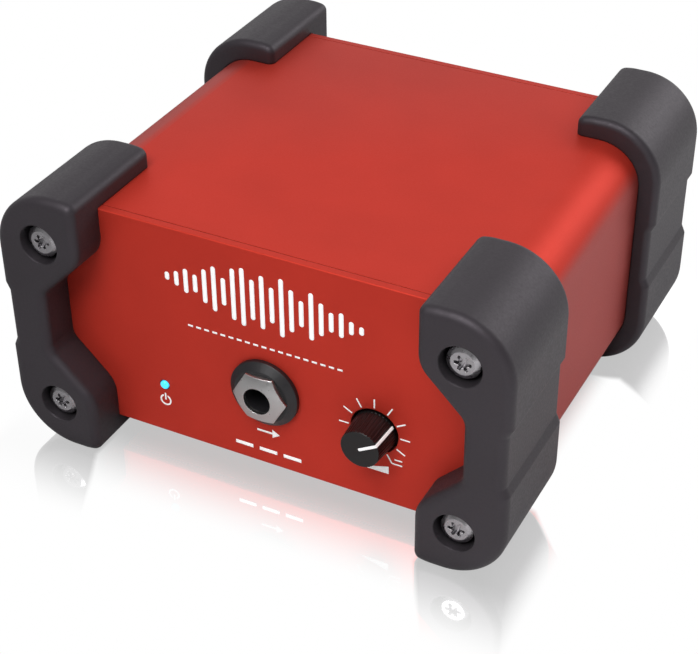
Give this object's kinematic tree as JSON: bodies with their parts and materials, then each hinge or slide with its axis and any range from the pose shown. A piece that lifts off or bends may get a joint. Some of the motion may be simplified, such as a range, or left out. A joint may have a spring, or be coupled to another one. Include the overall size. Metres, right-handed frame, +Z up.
{
  "type": "wireless guitar transmitter",
  "caption": "Rugged red desktop box with a quarter-inch guitar input, turning knob and status light in front, line connectors behind, and soft screwed-on corner bumpers.",
  "frame": {"origin": "on the floor under the middle of the box", "axes": "+Z up, the front panel with the controls faces -Y, +X to the right seen from the front"},
  "size_m": [0.1196, 0.1146, 0.0648],
  "materials": {
    "red_anodised": "satin",
    "soft_charcoal": "satin",
    "zinc_steel": "bright",
    "white_ink": "matte",
    "knob_black": "satin",
    "bright_metal": "satin",
    "black_plastic": "matte",
    "black_metal": "satin",
    "black_steel": "satin",
    "spring_bronze": "satin",
    "brown_laminate": "matte",
    "light_pipe": "clear, lit cyan",
    "lamp_white": "gloss",
    "gold_contact": "bright",
    "board_green": "gloss",
    "capacitor_blue": "gloss",
    "capacitor_black": "satin",
    "chip_black": "matte",
    "core_steel": "matte",
    "bobbin_white": "matte",
    "copper": "lacquered",
    "nickel": "satin"
  },
  "bodies": {
    "box": {"case_sleeve": "red_anodised", "front_panel": "red_anodised", "rear_panel": "red_anodised", "bumper_front_left": "soft_charcoal", "bumper_front_right": "soft_charcoal", "bumper_rear_left": "soft_charcoal", "bumper_rear_right": "soft_charcoal", "front_screws": "zinc_steel", "rear_screws": "zinc_steel", "front_legend": "white_ink", "rear_legend": "white_ink", "drag_pot_bushing": "bright_metal", "drag_pot_housing": "black_plastic", "drag_pot_cover": "bright_metal", "drag_pot_track": "brown_laminate", "drag_pot_solder_legs": "bright_metal", "power_light_pipe": "light_pipe", "power_lamp": "lamp_white", "line_output_shell": "black_metal", "line_output_insert": "black_plastic", "line_output_pins": "gold_contact", "line_output_screws": "black_steel", "line_output_leads": "copper", "power_inlet_housing": "black_plastic", "power_inlet_pin": "bright_metal", "ground_lift_housing": "bright_metal", "ground_lift_solder_legs": "bright_metal", "main_board": "board_green", "amplifier_chips": "black_plastic", "film_capacitors": "capacitor_blue", "can_capacitors": "capacitor_black", "chip_resistors": "chip_black", "transformer_core": "core_steel", "transformer_bobbin": "bobbin_white", "transformer_winding": "copper", "voltage_regulator": "black_plastic", "input_jack_washer": "black_plastic", "input_jack_nut": "nickel", "input_jack_bushing": "black_plastic", "input_jack_housing": "black_plastic", "input_jack_solder_legs": "bright_metal", "thru_jack_washer": "black_plastic", "thru_jack_nut": "nickel", "thru_jack_bushing": "black_plastic", "thru_jack_housing": "black_plastic", "thru_jack_solder_legs": "bright_metal"},
    "drag_knob": {"drag_knob": "knob_black", "drag_knob_pointer": "white_ink", "drag_pot_shaft": "bright_metal", "drag_pot_wiper": "spring_bronze"},
    "ground_lift_slider": {"ground_lift_slider": "black_plastic"},
    "input_jack_tip_contact": {"input_jack_tip_contact": "spring_bronze"},
    "input_jack_sleeve_contact": {"input_jack_sleeve_contact": "spring_bronze"},
    "thru_jack_tip_contact": {"thru_jack_tip_contact": "spring_bronze"},
    "thru_jack_sleeve_contact": {"thru_jack_sleeve_contact": "spring_bronze"},
    "power_inlet_contact": {"power_inlet_contact": "spring_bronze"}
  },
  "joints": [
    {"name": "drag_knob_turn", "type": "hinge", "parent": "box", "child": "drag_knob", "pos_m": [0.0259, -0.05, 0.0233], "axis": [0, 1, 0], "range_deg": [-210, 90]},
    {"name": "ground_lift_slide", "type": "slide", "parent": "box", "child": "ground_lift_slider", "axis": [1, 0, 0], "range_m": [0, 0.003]},
    {"name": "input_jack_tip_flex", "type": "hinge", "parent": "box", "child": "input_jack_tip_contact", "pos_m": [0, -0.0354, 0.0301], "axis": [1, 0, 0], "range_deg": [0, 5]},
    {"name": "input_jack_sleeve_flex", "type": "hinge", "parent": "box", "child": "input_jack_sleeve_contact", "pos_m": [0.0052, -0.0309, 0.0249], "axis": [0, 0, 1], "range_deg": [0, 4]},
    {"name": "thru_jack_tip_flex", "type": "hinge", "parent": "box", "child": "thru_jack_tip_contact", "pos_m": [-0.002, 0.0354, 0.0301], "axis": [-1, 0, 0], "range_deg": [0, 5]},
    {"name": "thru_jack_sleeve_flex", "type": "hinge", "parent": "box", "child": "thru_jack_sleeve_contact", "pos_m": [-0.0072, 0.0309, 0.0249], "axis": [0, 0, 1], "range_deg": [0, 4]},
    {"name": "power_inlet_flex", "type": "hinge", "parent": "box", "child": "power_inlet_contact", "pos_m": [-0.03, 0.0383, 0.0193], "axis": [-1, 0, 0], "range_deg": [0, 4]}
  ]
}
